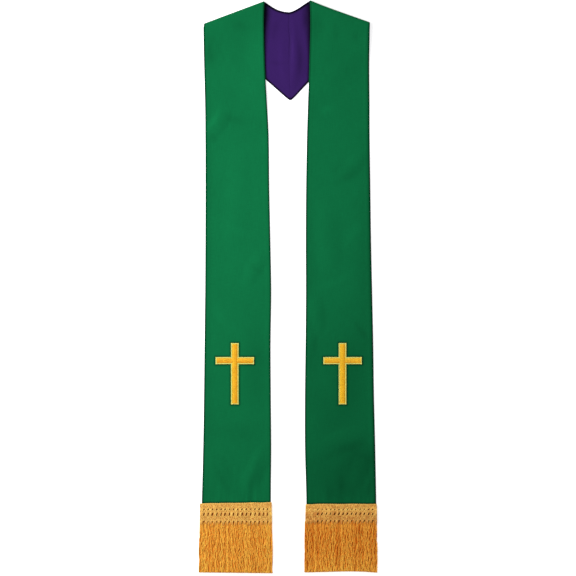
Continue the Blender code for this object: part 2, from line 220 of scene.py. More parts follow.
def necklinePoint(side, share):
    neck = foldFrame(side)[0]
    end = neck + backEdgeWays(side)[0] * layout["foldRadius"][0]
    handleFold, handleSeam = (np.array(p) for p in side["neckline"])
    rest = 1 - share
    return (
        np.array(layout["neckDip"]) * rest**3
        + handleSeam * (3 * rest**2 * share)
        + handleFold * (3 * rest * share**2)
        + end * share**3
    )


def backEdgePoint(side, share):
    shoulder = foldFrame(side)[1]
    end = shoulder + backEdgeWays(side)[1] * layout["foldRadius"][1]
    point = blendTo(np.array(layout["backPoint"]), end, share)
    start, reach = layout["bowStarts"]
    bow = side["lowBow"] * math.sin(math.pi * share) * smoothStep((share - start) / reach)
    point[1] = point[1] + bow
    pointY = layout["backPoint"][1]
    point[1] = pointY + math.hypot(point[1] - pointY, layout["backPointRound"])
    return point


def edgeX(side, y):  # inner and outer x of a front, on a smooth curve through the table
    rows = side["edges"]
    k = next((i for i in range(len(rows) - 2) if y > rows[i + 1][0]), len(rows) - 2)
    a, b = rows[k], rows[k + 1]
    before, after = rows[max(k - 1, 0)], rows[min(k + 2, len(rows) - 1)]
    span = a[0] - b[0]
    share = (a[0] - y) / span
    square, cube = share**2, share**3
    found = []
    for c in (1, 2):
        slopeA = (b[c] - before[c]) / (before[0] - b[0])
        slopeB = (after[c] - a[c]) / (a[0] - after[0])
        found.append(
            a[c] * (2 * cube - 3 * square + 1)
            + slopeA * span * (cube - 2 * square + share)
            + b[c] * (3 * square - 2 * cube)
            + slopeB * span * (cube - square)
        )
    return found


# The lie of the cloth


def ovalSum(ovals, x, y):  # soft ovals that fall to nothing at their outlines
    total = 0.0
    for centreX, centreY, halfLength, halfWidth, degrees, height in ovals:
        c, s = math.cos(math.radians(degrees)), math.sin(math.radians(degrees))
        dx, dy = x - centreX, y - centreY
        reach = ((dx * c + dy * s) / halfLength) ** 2 + ((dy * c - dx * s) / halfWidth) ** 2
        total = total + height * np.clip(1 - reach, 0, None) ** 2
    return total


def creaseHeight(side, creases, x, y):
    total = 0.0
    for x0, y0, x1, y1, halfWidth, height in creases:
        runX, runY = x1 - x0, y1 - y0
        length = math.hypot(runX, runY)
        dx, dy = x - (x0 + x1) / 2, y - (y0 + y1) / 2
        along = (dx * runX + dy * runY) / length
        across = (dy * runX - dx * runY) / length - along**2 * side["bend"] / length
        reach = (along / (length * 0.75)) ** 2 + (across / halfWidth) ** 2
        total = total + height * np.exp(-2.2 * reach)
    return total


def frontHeight(side, x, y):  # the seam layer: on the table, over the back, and up to the loop
    neck, shoulder, along, inward, length = foldFrame(side)
    backPoint = np.array(layout["backPoint"])
    run = (shoulder - backPoint) / np.hypot(*(shoulder - backPoint))
    across = np.array((run[1], -run[0])) * side["sign"]
    past = (x - backPoint[0]) * across[0] + (y - backPoint[1]) * across[1]
    dropped = smoothStep((past - layout["dropStarts"]) / layout["dropLength"])
    resting = layout["seamHeight"] + layout["overBack"] * (1 - dropped)
    share = ((x - neck[0]) * along[0] + (y - neck[1]) * along[1]) / length
    distance = (x - neck[0]) * inward[0] + (y - neck[1]) * inward[1]
    radius = foldRadius(share)
    loopTop = layout["seamHeight"] + 2 * radius
    nearFold = 1 - smoothStep((distance - radius) / layout["foldSettles"])
    return blendTo(resting, loopTop, nearFold) + ovalSum(side["swells"], x, y)


cloth = {
    "wall": 0.85,
    "halfLayer": 1.15,  # from the seam layer to the outside of the face or lining
    "allowance": 9.0,  # pressed seam allowance, which shows as a low ridge along the edges
    "allowanceRise": 0.20,
    "allowanceFades": 2.6,
    "handled": (0.16, 78.0),  # height and length of the long waves of a handled cloth
    "rumpled": (0.05, 21.0),
    "pucker": (0.30, 10.0, 16.0, 5.0),  # above the heading: height, length, reach, start
    "calmAbove": 14.0,  # the creases die out this far above the heading
    "deepest": -0.5,
    "creaseShading": 0.24,  # painted light and shade: a millimetre of crease changes the tone by this
    # painted light and shade in the lining's creases, per millimetre
    "liningCreaseShading": 0.40,
    "liningWaves": (0.10, 40.0),
    "seamDip": (0.25, 1.3, 0.3),  # depth, half width, share that is left at the point
    # painted shade along the centre back seam: amount, half width, share that is left at the point
    "seamShade": (0.13, 1.8, 0.25),
    "seamFades": (440.0, 50.0),  # below this the seam hardly shows
    "panelShade": (6.0, 21.0),  # how far the back is darker beside a front, below and by the fold
    "panelRange": (440.0, 130.0),  # it widens from this height up, over this length
    "panelDeepest": 0.05,
    "besideBack": (395.0, 20.0, 0.9),  # above this a front's inner edge loses this share of its shade
    "gathers": ((5.5, 9.0, 0.16), (15.0, 34.0, 0.09)),  # painted light and shade in streaks along the gathers: length, reach above the heading, tone
    "gatherLean": 0.12,
    "innerGap": 0.06,  # from the seam layer to the wall's inner side, at the pressed edge
    "edgeThins": 3.0,
    "reliefStarts": 1.5,
    "thinnest": 0.03,
}


def faceRelief(side, x, y):  # what the face cloth adds to its plain offset, on a front
    seed = 3 if side["sign"] < 0 else 8
    relief = creaseHeight(side, side["creases"], x, y)
    for more, (height, length) in enumerate((cloth["handled"], cloth["rumpled"])):
        relief = relief + height * softWaves(x, y, length, seed + more)
    aboveHeading = y - headingTop(side, x)
    relief = relief * smoothStep(aboveHeading / cloth["calmAbove"])
    height, length, reach, start = cloth["pucker"]
    gathers = softWaves(x, 0 * y, length, seed + 2) * np.exp(-np.abs(aboveHeading) / reach)
    relief = relief + height * gathers * smoothStep(aboveHeading / start)
    return np.maximum(relief, cloth["deepest"])


def faceTop(side, x, y):
    return frontHeight(side, x, y) + cloth["halfLayer"] + faceRelief(side, x, y)


def seamLayer(side, across, backShares, foldAngles, frontShares):
    # Rows from the centre back seam, round the fold, to the hem: places, and places in the cut
    neck, shoulder, along, inward, length = foldFrame(side)
    rows, cuts = [], []
    for share in backShares:
        top, low = necklinePoint(side, share), backEdgePoint(side, share)
        plan = blendTo(top[None], low[None], across[:, None])
        for place, reach, size in seamBends:
            bend = size * bell((across - place) / reach) * (1 - share) ** 3
            plan[:, 0] = plan[:, 0] + bend
        rows.append(np.column_stack((plan, np.full(len(across), layout["seamHeight"]))))
        away = plan - neck
        cuts.append(neck + 2 * np.outer(away @ along, along) - away)
    radius = foldRadius(across)
    neckWay, lowWay = backEdgeWays(side)
    down = np.array((0.0, -1.0)) / -inward[1]
    for angle in foldAngles:
        distance = (radius * (1 - math.cos(angle)))[:, None]
        ways = (down, down) if angle > 0 else (neckWay, lowWay)
        start, end = neck + ways[0] * distance, shoulder + ways[1] * distance
        plan = blendTo(start, end, across[:, None])
        height = layout["seamHeight"] + radius * (1 + math.sin(angle))
        rows.append(np.column_stack((plan, height)))
        onFold = neck + np.outer(across * length, along)
        cuts.append(onFold + (radius * angle * 2 / math.pi)[:, None] * inward)
    innerTop, outerTop = rows[-1][0, 1], rows[-1][-1, 1]
    for share in frontShares:
        innerY = blendTo(innerTop, layout["hemY"], share)
        outerY = blendTo(outerTop, layout["hemY"], share)
        inner = np.array((edgeX(side, innerY)[0], innerY))
        outer = np.array((edgeX(side, outerY)[1], outerY))
        plan = blendTo(inner[None], outer[None], across[:, None])
        height = frontHeight(side, plan[:, 0], plan[:, 1])
        rows.append(np.column_stack((plan, height)))
        cuts.append(plan)
    rows = np.array(rows)
    away = (rows[:, :, :2] - neck) @ inward
    sag = bell(away / layout["sagReach"]) * np.sin(math.pi * across**0.55)
    rows[:, :, 1] = rows[:, :, 1] - side["foldSag"] * sag
    return rows, np.array(cuts)


# Meshes

pieces = {}


def addMesh(name, points, faces, uvs, finish, marks=None, flat=()):
    mesh = bpy.data.meshes.new(name)
    mesh.from_pydata((np.asarray(points) * 0.001).tolist(), [], faces)
    mesh.uv_layers.new(name="cut")
    mesh.uv_layers["cut"].data.foreach_set("uv", np.asarray(uvs, np.float32).ravel())
    for markName, values in (marks or {}).items():
        layer = mesh.attributes.new(markName, "FLOAT", "POINT")
        layer.data.foreach_set("value", np.asarray(values, np.float32).ravel())
    smooth = np.ones(len(mesh.polygons), bool)
    smooth[list(flat)] = False
    mesh.polygons.foreach_set("use_smooth", smooth)
    mesh.materials.append(finish)
    mesh.validate()
    piece = bpy.data.objects.new(name, mesh)
    bpy.context.scene.collection.objects.link(piece)
    pieces[name] = piece


def addShell(name, outer, inner, cut, marks, finish):
    # A closed thin wall between two grids of the same size
    rows, columns, _ = outer.shape
    size = rows * columns
    index = np.arange(size).reshape(rows, columns)
    a, b = index[:-1, :-1].ravel(), index[:-1, 1:].ravel()
    c, d = index[1:, 1:].ravel(), index[1:, :-1].ravel()
    middle = (rows // 2, columns // 2)
    acrossStep = outer[middle[0], middle[1] + 1] - outer[middle]
    downStep = outer[middle[0] + 1, middle[1]] - outer[middle]
    facesOut = np.dot(np.cross(acrossStep, downStep), outer[middle] - inner[middle]) > 0
    top = np.column_stack((a, b, c, d)) if facesOut else np.column_stack((d, c, b, a))
    under = top[:, ::-1] + size
    ring = np.concatenate((index[0], index[1:-1, -1], index[-1, ::-1], index[-2:0:-1, 0]))
    following = np.roll(ring, -1)
    rim = np.column_stack((following, ring, ring + size, following + size))
    if not facesOut:
        rim = rim[:, ::-1]
    faces = np.concatenate((top, under, rim))
    points = np.concatenate((outer.reshape(-1, 3), inner.reshape(-1, 3)))
    flatCut = np.tile(cut.reshape(-1, 2), (2, 1)) * 0.001
    doubled = {key: np.tile(values.ravel(), 2) for key, values in marks.items()}
    addMesh(name, points, faces.tolist(), flatCut[faces.ravel()], finish, doubled)


def addTubes(name, groups, finish):
    # groups: paths (threads x points x 3), radius, sides, flatness and tones (threads x points or 1)
    points, faces, uvs, tones, flat = [], [], [], [], []
    base, faceBase = 0, 0
    for paths, radius, around, flatness, tone in groups:
        count, steps, _ = paths.shape
        tangent = np.gradient(paths, axis=1)
        tangent /= np.linalg.norm(tangent, axis=2, keepdims=True)
        sideWay = np.cross(tangent, (0.0, 0.0, 1.0))
        sideWay /= np.linalg.norm(sideWay, axis=2, keepdims=True)
        rise = np.cross(sideWay, tangent)
        turn = (np.arange(around) + 0.5) * math.tau / around
        wide = np.broadcast_to(radius, (count, steps))[:, :, None, None]
        ring = (
            sideWay[:, :, None] * np.cos(turn)[:, None] * wide
            + rise[:, :, None] * np.sin(turn)[:, None] * wide * flatness
        )
        points.append((paths[:, :, None] + ring).reshape(-1, 3))
        index = base + np.arange(count * steps * around).reshape(count, steps, around)
        after = np.roll(index, -1, axis=2)
        walls = np.stack((index[:, :-1], index[:, 1:], after[:, 1:], after[:, :-1]), axis=-1)
        walls = walls.reshape(-1, 4)
        step = np.linalg.norm(np.diff(paths, axis=1), axis=2)
        run = np.concatenate((np.zeros((count, 1)), np.cumsum(step, axis=1)), axis=1) * 0.001
        lowRun = np.broadcast_to(run[:, :-1, None], (count, steps - 1, around))
        highRun = np.broadcast_to(run[:, 1:, None], (count, steps - 1, around))
        lowTurn = np.broadcast_to(np.arange(around) / around, lowRun.shape)
        highTurn = lowTurn + 1 / around
        corners = ((lowTurn, lowRun), (lowTurn, highRun), (highTurn, highRun), (highTurn, lowRun))
        wallUvs = np.stack([np.stack(corner, -1) for corner in corners], axis=3)
        faces += walls.tolist()
        uvs.append(wallUvs.reshape(-1, 2))
        flat += range(faceBase + len(walls), faceBase + len(walls) + 2 * count)
        faces += index[:, 0].tolist()
        faces += index[:, -1, ::-1].tolist()
        uvs.append(np.zeros((2 * count * around, 2)))
        tones.append(np.repeat(np.broadcast_to(tone, (count, steps)).ravel(), around))
        base += count * steps * around
        faceBase = len(faces)
    marks = {"tone": np.concatenate(tones)}
    addMesh(name, np.concatenate(points), faces, np.concatenate(uvs), finish, marks, flat)


# Finishes

colours = {
    "green": (12, 102, 59),
    "purple": (53, 27, 91),
    "fill": (255, 200, 40),
    "fillDeep": (238, 152, 25),
    # the border's pale colour is partly a painted highlight along the cross's edges
    "border": (238, 238, 132),
    "borderDeep": (222, 208, 90),
    "heading": (255, 208, 106),
    "headingDeep": (198, 119, 42),
    # the heading's back: dark brown, painted shade seen inside the holes
    "headingBack": (128, 66, 18),
    "headingBackDeep": (56, 22, 4),
    "fringe": (255, 198, 78),
    "fringeDeep": (215, 111, 10),
}


def toLinear(colour):
    shares = [part / 255 for part in colour]
    return tuple(s / 12.92 if s < 0.04045 else ((s + 0.055) / 1.055) ** 2.4 for s in shares)


def feed(tree, socket, value):
    if isinstance(value, bpy.types.NodeSocket):
        tree.links.new(value, socket)
    else:
        socket.default_value = value


def addNode(tree, kind, inputs, **settings):
    node = tree.nodes.new(kind)
    for key, value in settings.items():
        setattr(node, key, value)
    for key, value in inputs.items():
        feed(tree, node.inputs[key], value)
    return node


def maths(tree, operation, *values):
    return addNode(tree, "ShaderNodeMath", dict(enumerate(values)), operation=operation).outputs[0]


def stretched(tree, vector, factors):
    inputs = {0: vector, 1: factors}
    return addNode(tree, "ShaderNodeVectorMath", inputs, operation="MULTIPLY").outputs[0]


def cloudNoise(tree, vector, scale, detail=2.0):
    inputs = {"Vector": vector, "Scale": scale, "Detail": detail}
    return addNode(tree, "ShaderNodeTexNoise", inputs).outputs["Fac"]


def newGroup(name, inputs, outputs):
    group = bpy.data.node_groups.new(name, "ShaderNodeTree")
    for key, kind in inputs.items():
        group.interface.new_socket(name=key, in_out="INPUT", socket_type=f"NodeSocket{kind}")
    for key in outputs:
        group.interface.new_socket(name=key, in_out="OUTPUT", socket_type="NodeSocketFloat")
    start = group.nodes.new("NodeGroupInput")
    end = group.nodes.new("NodeGroupOutput")
    return group, start.outputs, end.inputs


def makePlainWeave():  # warp and weft by the cut's own grain, with thicker threads here and there
    group, given, made = newGroup(
        "plainWeave", {"Cut": "Vector", "Threads": "Float", "Slub": "Float"}, ("Height", "Shade")
    )
    parts = addNode(group, "ShaderNodeSeparateXYZ", {0: given["Cut"]}).outputs
    turns = maths(group, "MULTIPLY", given["Threads"], math.pi)
    warp = maths(group, "SINE", maths(group, "MULTIPLY", parts[0], turns))
    weft = maths(group, "SINE", maths(group, "MULTIPLY", parts[1], turns))
    over = maths(group, "MULTIPLY", maths(group, "MULTIPLY", warp, weft), 3.0)
    over = maths(group, "ADD", maths(group, "MULTIPLY", over, 0.5), 0.5)
    over = maths(group, "MINIMUM", maths(group, "MAXIMUM", over, 0.0), 1.0)
    onTop = maths(group, "MULTIPLY", maths(group, "ABSOLUTE", warp), over)
    below = maths(group, "SUBTRACT", 1.0, over)
    below = maths(group, "MULTIPLY", maths(group, "ABSOLUTE", weft), below)
    feed(group, made["Height"], maths(group, "ADD", onTop, below))
    acrossSlubs = cloudNoise(group, stretched(group, given["Cut"], (70.0, 1500.0, 1.0)), 1.0)
    alongSlubs = cloudNoise(group, stretched(group, given["Cut"], (1500.0, 45.0, 1.0)), 1.0)
    slubs = maths(group, "SUBTRACT", maths(group, "ADD", acrossSlubs, alongSlubs), 1.0)
    shade = maths(group, "MULTIPLY_ADD", slubs, given["Slub"], 1.0)
    feed(group, made["Shade"], shade)
    return group


def makeTwist():  # plies that run round a thread, with painted shade in the grooves between them and painted light on their crests
    group, given, made = newGroup(
        "threadTwist", {"Thread": "Vector", "Plies": "Float", "Turns": "Float"}, ("Height", "Shade")
    )
    parts = addNode(group, "ShaderNodeSeparateXYZ", {0: given["Thread"]}).outputs
    around = maths(group, "MULTIPLY", parts[0], given["Plies"])
    along = maths(group, "MULTIPLY", parts[1], given["Turns"])
    turn = maths(group, "MULTIPLY", maths(group, "ADD", around, along), math.pi)
    ridge = maths(group, "ABSOLUTE", maths(group, "SINE", turn))
    feed(group, made["Height"], ridge)
    feed(group, made["Shade"], maths(group, "MULTIPLY_ADD", ridge, 0.26, 0.86))
    return group


def makeHandled():  # slow changes of depth in the dye, by place on the stole
    group, given, made = newGroup(
        "handledTone", {"Place": "Vector", "Size": "Float", "Strength": "Float"}, ("Shade",)
    )
    broad = cloudNoise(group, given["Place"], given["Size"], 3.0)
    centred = maths(group, "SUBTRACT", broad, 0.5)
    feed(group, made["Shade"], maths(group, "MULTIPLY_ADD", centred, given["Strength"], 1.0))
    return group


def makePaintedEdgeShade():  # painted shade: a darker line just inside an edge, where the cloth rounds over
    group, given, made = newGroup(
        "paintedEdgeShade", {"Distance": "Float", "Width": "Float", "Depth": "Float"}, ("Shade",)
    )
    share = maths(group, "DIVIDE", given["Distance"], given["Width"])
    away = maths(group, "SUBTRACT", share, 0.9)  # the line is darkest at 0.9 of the width
    square = maths(group, "MULTIPLY", away, away)
    line = maths(group, "EXPONENT", maths(group, "MULTIPLY", square, -1.0))
    line = maths(group, "MULTIPLY", line, given["Depth"])
    feed(group, made["Shade"], maths(group, "SUBTRACT", 1.0, line))
    return group


groups = {
    "weave": makePlainWeave(),
    "twist": makeTwist(),
    "handled": makeHandled(),
    "paintedEdgeShade": makePaintedEdgeShade(),
}


def useGroup(tree, name, inputs):
    node = tree.nodes.new("ShaderNodeGroup")
    node.node_tree = groups[name]
    for key, value in inputs.items():
        feed(tree, node.inputs[key], value)
    return node.outputs


def startFinish(name, colour, roughness, specular):
    finish = bpy.data.materials.new(name)
    finish.use_nodes = True
    tree = finish.node_tree
    shader = tree.nodes["Principled BSDF"]
    shader.inputs["Roughness"].default_value = roughness
    shader.inputs["Specular IOR Level"].default_value = specular
    shader.inputs["Base Color"].default_value = (*toLinear(colour), 1.0)
    return finish, tree, shader


def mixColours(tree, kind, share, first, second):
    mix = addNode(tree, "ShaderNodeMix", {}, data_type="RGBA", blend_type=kind)
    for place, value in ((0, share), (6, first), (7, second)):
        feed(tree, mix.inputs[place], value)
    return mix.outputs[2]


def shadeColour(tree, shader, colour, shades, deep=None, share=None):
    total = shades[0]
    for shade in shades[1:]:
        total = maths(tree, "MULTIPLY", total, shade)
    start = (*toLinear(colour), 1.0)
    if deep:
        start = mixColours(tree, "MIX", share, (*toLinear(deep), 1.0), start)
    grey = addNode(tree, "ShaderNodeCombineColor", {0: total, 1: total, 2: total}).outputs[0]
    tinted = mixColours(tree, "MULTIPLY", 1.0, start, grey)
    tree.links.new(tinted, shader.inputs["Base Color"])


def cutAndPlace(tree):  # the place in the flat cut or along a thread, and on the stole
    cut = addNode(tree, "ShaderNodeUVMap", {}, uv_map="cut").outputs[0]
    return cut, addNode(tree, "ShaderNodeTexCoord", {}).outputs["Object"]


def markOf(tree, name):
    return addNode(tree, "ShaderNodeAttribute", {}, attribute_name=name).outputs["Fac"]


def bumpFrom(tree, shader, height, bump):
    inputs = {"Height": height, "Distance": bump[0], "Strength": bump[1]}
    bump = addNode(tree, "ShaderNodeBump", inputs)
    tree.links.new(bump.outputs[0], shader.inputs["Normal"])


surfaces = {
    "cloth": {"handledSize": 14.0, "bump": (0.00012, 0.5)},
    "thread": {"handledSize": 60.0, "handled": 0.25, "plies": 2.0, "bump": (0.00015, 0.6)},
}
clothFinishes = {
    "greenCloth": {
        "colour": colours["green"],
        "roughness": 0.85,
        "specular": 0.02,
        "threads": 2100.0,  # a metre
        "slub": 0.28,
        "handled": 0.16,
        "edge": (0.0016, 0.50),  # width in metres and depth of the painted shade line along the edges
    },
    "purpleLining": {
        "colour": colours["purple"],
        "roughness": 0.6,
        "specular": 0.04,
        "threads": 2800.0,
        "slub": 0.22,
        "handled": 0.10,
        # painted shade line along the lining's edges: width in metres and depth
        "edge": (0.0023, 0.95),
    },
}


def makeClothFinish(name):
    values, surface = clothFinishes[name], surfaces["cloth"]
    colour = values["colour"]
    finish, tree, shader = startFinish(name, colour, values["roughness"], values["specular"])
    cut, place = cutAndPlace(tree)
    weaveInputs = {"Cut": cut, "Threads": values["threads"], "Slub": values["slub"]}
    weave = useGroup(tree, "weave", weaveInputs)
    toneInputs = {"Place": place, "Size": surface["handledSize"], "Strength": values["handled"]}
    tone = useGroup(tree, "handled", toneInputs)
    # painted shade along the edges
    width, depth = values["edge"]
    edgeInputs = {"Distance": markOf(tree, "edgeDistance"), "Width": width, "Depth": depth}
    edgeShading = useGroup(tree, "paintedEdgeShade", edgeInputs)
    # the cloth's painted light and shade, a mark made with the mesh, darkens or lightens its colour
    shades = (weave["Shade"], tone["Shade"], edgeShading["Shade"], markOf(tree, "paintedShading"))
    shadeColour(tree, shader, colour, shades)
    bumpFrom(tree, shader, weave["Height"], surface["bump"])
    return finish


threadFinishes = {
    "fillThread": {"colour": "fill", "roughness": 0.42, "specular": 0.20, "turns": 500.0},
    "borderThread": {"colour": "border", "roughness": 0.42, "specular": 0.20, "turns": 500.0},
    "headingCord": {"colour": "heading", "roughness": 0.55, "specular": 0.25, "turns": 420.0},
    "headingBack": {"colour": "headingBack", "roughness": 0.8, "specular": 0.05, "turns": 300.0},
    "fringeThread": {"colour": "fringe", "roughness": 0.5, "specular": 0.14, "turns": 380.0},
}


def makeThreadFinish(name):  # each thread's own tone leads from the deep colour to the light one
    values, surface = threadFinishes[name], surfaces["thread"]
    light, deep = colours[values["colour"]], colours[values["colour"] + "Deep"]
    finish, tree, shader = startFinish(name, light, values["roughness"], values["specular"])
    along, place = cutAndPlace(tree)
    twistInputs = {"Thread": along, "Plies": surface["plies"], "Turns": values["turns"]}
    twist = useGroup(tree, "twist", twistInputs)
    toneInputs = {"Place": place, "Size": surface["handledSize"], "Strength": surface["handled"]}
    handled = useGroup(tree, "handled", toneInputs)
    shades = (twist["Shade"], handled["Shade"])
    shadeColour(tree, shader, light, shades, deep, markOf(tree, "tone"))
    bumpFrom(tree, shader, twist["Height"], surface["bump"])
    return finish


finishes = {name: makeClothFinish(name) for name in clothFinishes}
finishes.update({name: makeThreadFinish(name) for name in threadFinishes})
print("finishes:", ", ".join(finishes))

# Face cloth and lining

heading = {
    "top": -433.4,
    "base": 2.6,  # the plain side lies on the face cloth
    "repeats": 17,
    "stitches": 4,  # small stitches in a repeat
    "stitchRows": (1.6, 4.2, 6.8, 9.4, 16.8, 28.6, 31.2, 33.8),  # below the top
    "cords": ((0.3, 0.7), (15.0, 0.6), (18.6, 0.72), (26.4, 0.72), (35.6, 0.65)),  # down, radius
    "cordRadius": 0.58,
    "cordWave": 0.3,
    "cordHeight": 1.05,  # heights are above the plain back's level
    "stitchHeight": (0.62, 0.85),
    "postHeight": (0.55, 0.75),
    "stitchLength": 3.1,
    "flare": (0.8, 42.0),  # the heading widens by this, down to this far below the top
    "straightBelow": 24.0,  # from here down the rows no longer follow the uneven top
    "edgeWave": (0.45, 34.0),  # height and length
    "upperRows": 17.0,  # the rows above this are paler
    "stitchTones": (0.1, 1.0),
    "postTones": (0.25, 0.9),
    "upperPosts": 0.25,
    "cordTone": 0.75,
    "drop": 0.57,  # share of a side's painted shade in the posts and the fringe
    # share of a side's painted shade in the small stitches
    "stitchDrop": 0.55,
    "shade": (0.6, 1.2, 2.2),  # on the cloth above: amount, middle, reach
    "backAcross": (0.004, 0.996, 35),
    "backDown": (0.8, 41.0, 12),
    "backHeights": (0.42, 0.02),
}
# Rows of posts between the bands: top, bottom, places across a repeat, radius, slant, pinch,
# and how far the lower ends dive
headingPosts = (
    (10.4, 14.9, (-2.05, 0.0, 2.05), 1.04, 1.4, 0.05, 0.0),
    (18.4, 26.6, (-2.05, 0.0, 2.05), 1.12, 1.5, 0.10, 0.0),
    (35.2, 45.5, (-2.5, -0.84, 0.84, 2.5), 1.0, 0.4, 0.30, 1.5),
)

cross = {
    "top": -113.1,
    "bottom": -235.7,
    "armY": -148.2,
    "span": 76.8,
    "uprightWidth": 15.3,
    "armWidth": 14.3,
    "pitch": 0.46,
    "threadRadius": 0.28,
    "flatness": 0.9,
    "borderWidth": 2.3,
    "inset": 0.8,  # share of the border's width by which the fill starts inside the outline
    "fillCrest": 1.35,
    "borderCrest": 1.25,
    "lift": 0.2,
    "overlap": 1.6,  # of the arms' fill under the upright's
    "paintedLightShade": 0.32,  # painted light and shade: change of the fill's tone along its stitches
    "borderTones": (0.4, 1.0),
    "uneven": (0.025, 0.035, 0.03, 0.04),  # spread and limit of the places, and of the lean
    "lengthSpread": 0.012,
    "heightSpread": 0.035,
    "shade": (0.62, 3.0),  # on the cloth round it: amount, reach
}
grid = {
    "edgeSteps": (0.0, 0.15, 0.45, 0.9, 1.5, 2.2, 3.1, 4.6),
    "edgeRound": 2.6,
    "seamSteps": (0.0, 0.0015, 0.004, 0.008, 0.014, 0.022, 0.034),
    "width": 140.0,  # the edge steps are taken as shares of this
    "foldRows": 14,
    "reliefRows": 14,  # over these, past the fold, the front's creases come in
    "fineStretches": ((-104.0, -246.0), (-424.0, -438.0)),  # round the cross, by the heading
}
clothGrids = {
    "face": {"columns": 70, "backRows": 24, "frontStep": 3.8, "fineStep": 1.7},
    "lining": {"columns": 44, "backRows": 52, "frontStep": 10.0, "fineStep": 10.0},
}
liningCreases = (
    (-34, 447, -3, 446, 5, -0.30), (-20, 535, -30, 500, 12, -0.30), (14, 545, 9, 392, 7, 0.34),
    (9.6, 498, 9.6, 452, 4, 0.34), (25.5, 494, 24.5, 412, 9.5, -0.75), (36, 476, 35, 408, 8, -0.26),
    (35, 548, 35, 516, 8, -0.60), (-40, 552, -42, 520, 9, -0.40), (-18, 500, -10, 400, 9, 0.22),
)


def headingTop(side, x):  # the upper edge isn't quite straight
    inner, outer = side["heading"]
    share = np.clip((x - inner) / (outer - inner), 0, 1)
    height, length = heading["edgeWave"]
    wave = height * softWaves(x, 0 * x, length, 5 + side["sign"])
    return blendTo(*side["headingTops"], share) + wave


def gridShares(columns):
    steps = np.array(grid["edgeSteps"]) / grid["width"]
    middle = np.linspace(steps[-1], 1 - steps[-1], columns + 1)[1:-1]
    return np.concatenate((steps, middle, 1 - steps[::-1]))


def roundedEdge(distance):  # the outside rounds over towards an edge
    share = np.clip(distance / grid["edgeRound"], 0.02, 1.0)
    return np.sqrt(1 - (1 - share) ** 2)


def frontRowShares(side, step, fineStep):  # closer rows in the fine stretches
    top = foldFrame(side)[0][1] - foldRadius(0.0)
    start, stretches = top, []
    for fineStart, fineEnd in grid["fineStretches"]:
        stretches += [(start, fineStart, step), (fineStart, fineEnd, fineStep)]
        start = fineEnd
    stretches.append((start, layout["hemY"], step))
    places = [np.linspace(a, b, round((a - b) / size) + 1)[1:] for a, b, size in stretches]
    return (top - np.concatenate(places)) / (top - layout["hemY"])


def crossDistance(side, x, y):  # from the outline of the stitched cross
    middle = (cross["top"] + cross["bottom"]) / 2
    bars = (
        (middle, cross["uprightWidth"] / 2, (cross["top"] - cross["bottom"]) / 2),
        (cross["armY"], cross["span"] / 2, cross["armWidth"] / 2),
    )
    found = []
    for centreY, halfAcross, halfDown in bars:
        dx = np.abs(x - side["crossX"]) - halfAcross
        dy = np.abs(y - centreY) - halfDown
        found.append(np.hypot(np.maximum(dx, 0), np.maximum(dy, 0)) + np.minimum(np.maximum(dx, dy), 0))
    return np.minimum(*found)


def besidePanel(side, x, y):  # on the back of the neck, how far a point is from the front over it
    rows = side["edges"][::-1]
    innerX = np.interp(y, [row[0] for row in rows], [row[1] for row in rows])
    return (innerX - x) * side["sign"]


def facePaintedShading(side, x, y):  # painted light and shade on the face: lighter on crease ridges and darker in troughs, the listed tone ovals, painted shadows round the cross and above the heading, and streaks along the gathers
    tone = 1 + cloth["creaseShading"] * creaseHeight(side, side["creases"], x, y)
    tone = tone + ovalSum(side["tones"], x, y)
    amount, reach = cross["shade"]
    outside = np.maximum(crossDistance(side, x, y), 0)
    tone = tone * (1 - amount * bell(outside / reach))
    amount, middle, reach = heading["shade"]
    above = np.maximum(y - headingTop(side, x), 0)
    tone = tone * (1 - amount * bell((above - middle) / reach))
    for length, reach, amount in cloth["gathers"]:
        waves = softWaves(x, cloth["gatherLean"] * y, length, 11)
        tone = tone * (1 + amount * waves * np.exp(-above / reach))
    return tone


